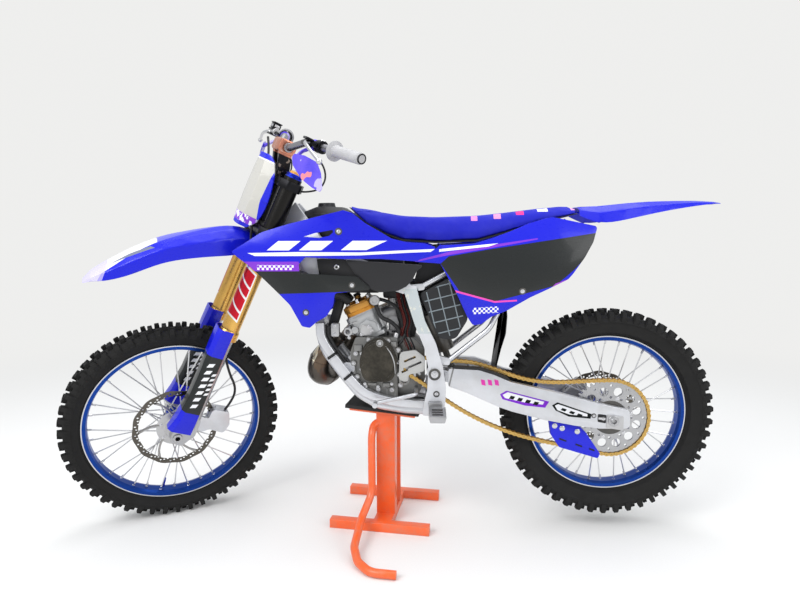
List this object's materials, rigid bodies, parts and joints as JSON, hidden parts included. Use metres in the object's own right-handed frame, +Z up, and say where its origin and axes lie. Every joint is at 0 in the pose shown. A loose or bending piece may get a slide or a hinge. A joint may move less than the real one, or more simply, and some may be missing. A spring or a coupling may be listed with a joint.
{
  "type": "dirt bike",
  "caption": "Motocross bike with spoked knobbly wheels, long-travel fork, twin-spar frame, open two-stroke engine and moulded bodywork, parked on a lift stand.",
  "frame": {"origin": "on the floor under the stand's foot, in the bike's middle plane", "axes": "-X forward, -Y the bike's left side, +Z up"},
  "size_m": [2.0977, 0.7467, 1.3603],
  "materials": {
    "tyre_rubber": "matt, knobbly",
    "rim_blue": "blue anodised",
    "hub_blue": "blue anodised, bright spokes",
    "disc_steel": "ground",
    "sprocket_silver": "satin",
    "fork_gold": "gold anodised",
    "slider_steel": "satin",
    "frame_silver": "satin",
    "bar_blue": "satin",
    "clamp_copper": "anodised",
    "grip_rubber": "soft grey",
    "control_metal": "satin",
    "plastic_blue": "moulded, gloss",
    "plastic_white": "moulded, gloss",
    "plastic_black": "moulded, matt",
    "hose_black": "satin",
    "engine_dark": "cast, satin",
    "engine_light": "cast",
    "exhaust_nickel": "bare, heat stained",
    "silencer_alloy": "satin",
    "radiator_alloy": "finned",
    "seat_cover": "ribbed cover",
    "tank_black": "moulded, satin",
    "chain_gold": "gold, oiled",
    "stand_orange": "powder coat",
    "pad_rubber": "matt"
  },
  "bodies": {
    "chassis": {"frame_spars": "frame_silver", "frame_cradle": "frame_silver", "subframe": "frame_silver", "swing_arm": "frame_silver", "rear_axle": "slider_steel", "engine_cases": "engine_light", "engine_covers": "engine_dark", "engine_top_end": "engine_light", "carburettor": "control_metal", "exhaust_pipe": "exhaust_nickel", "silencer": "silencer_alloy", "radiators": "radiator_alloy", "airbox": "plastic_black", "shock_absorber": "control_metal", "fuel_tank": "tank_black", "tank_side_covers": "tank_black", "seat": "seat_cover", "shrouds": "plastic_blue", "side_panels": "plastic_blue", "rear_fender": "plastic_blue", "mud_flap": "plastic_black", "footpegs": "slider_steel", "foot_levers": "frame_silver", "chain": "chain_gold", "chain_slider": "plastic_black", "drive_sprocket": "sprocket_silver", "chain_guide": "plastic_blue", "rear_caliper": "control_metal", "stand_base": "stand_orange", "stand_lift": "stand_orange", "stand_pad": "pad_rubber"},
    "steering": {"fork_outer_tubes": "fork_gold", "fork_sliders": "slider_steel", "triple_clamps": "bar_blue", "handlebar": "bar_blue", "bar_clamp": "clamp_copper", "grips": "grip_rubber", "bar_controls": "control_metal", "hand_guards": "plastic_blue", "number_plate": "plastic_white", "fork_guards": "plastic_blue", "front_fender": "plastic_blue", "front_caliper": "frame_silver", "front_brake_hose": "hose_black", "front_axle": "slider_steel"},
    "front_wheel": {"front_tyre": "tyre_rubber", "front_rim": "rim_blue", "front_hub": "hub_blue", "front_brake_disc": "disc_steel"},
    "rear_wheel": {"rear_tyre": "tyre_rubber", "rear_rim": "rim_blue", "rear_hub": "hub_blue", "rear_brake_disc": "disc_steel", "rear_sprocket": "sprocket_silver"}
  },
  "joints": [
    {"name": "steering_head", "type": "hinge", "parent": "chassis", "child": "steering", "pos_m": [-0.67214, 0, 0.32322], "axis": [0.4142, 0, 0.9102], "range_deg": [-71.4, 12.6]},
    {"name": "front_wheel_spin", "type": "hinge", "parent": "steering", "child": "front_wheel", "pos_m": [-0.71575, -0.027, 0.34307], "axis": [-0.4468, 0.8712, 0.2033], "continuous": true},
    {"name": "rear_wheel_spin", "type": "hinge", "parent": "chassis", "child": "rear_wheel", "pos_m": [0.7203, 0, 0.3846], "axis": [0, 1, 0], "continuous": true}
  ]
}
